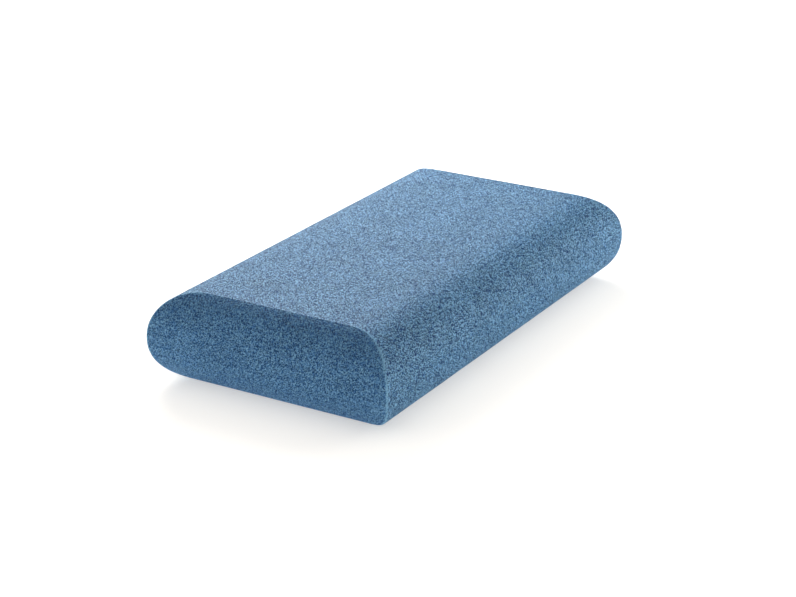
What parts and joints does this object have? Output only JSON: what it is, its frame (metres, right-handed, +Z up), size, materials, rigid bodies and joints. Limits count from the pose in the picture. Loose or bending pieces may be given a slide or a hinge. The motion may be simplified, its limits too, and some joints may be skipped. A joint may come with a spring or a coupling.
{
  "type": "bed pillow",
  "caption": "Rectangular bare-foam bed pillow with flat faces, crowned ends and rounded long sides, laminated from a support core between softer comfort layers.",
  "frame": {"origin": "middle of the flat underside, on the surface that the pillow lies on", "axes": "+X along the pillow's length, from one crowned end to the other; +Y across its depth, from one rounded long side to the other; +Z up, through its thickness"},
  "size_m": [0.54, 0.29, 0.1],
  "materials": {
    "comfort_foam": "matte",
    "support_foam": "matte",
    "bond_film": "satin"
  },
  "bodies": {
    "root": {"lower_comfort_layer": "comfort_foam", "lower_bond_film": "bond_film", "support_core": "support_foam", "upper_bond_film": "bond_film", "upper_comfort_layer": "comfort_foam"}
  },
  "joints": []
}
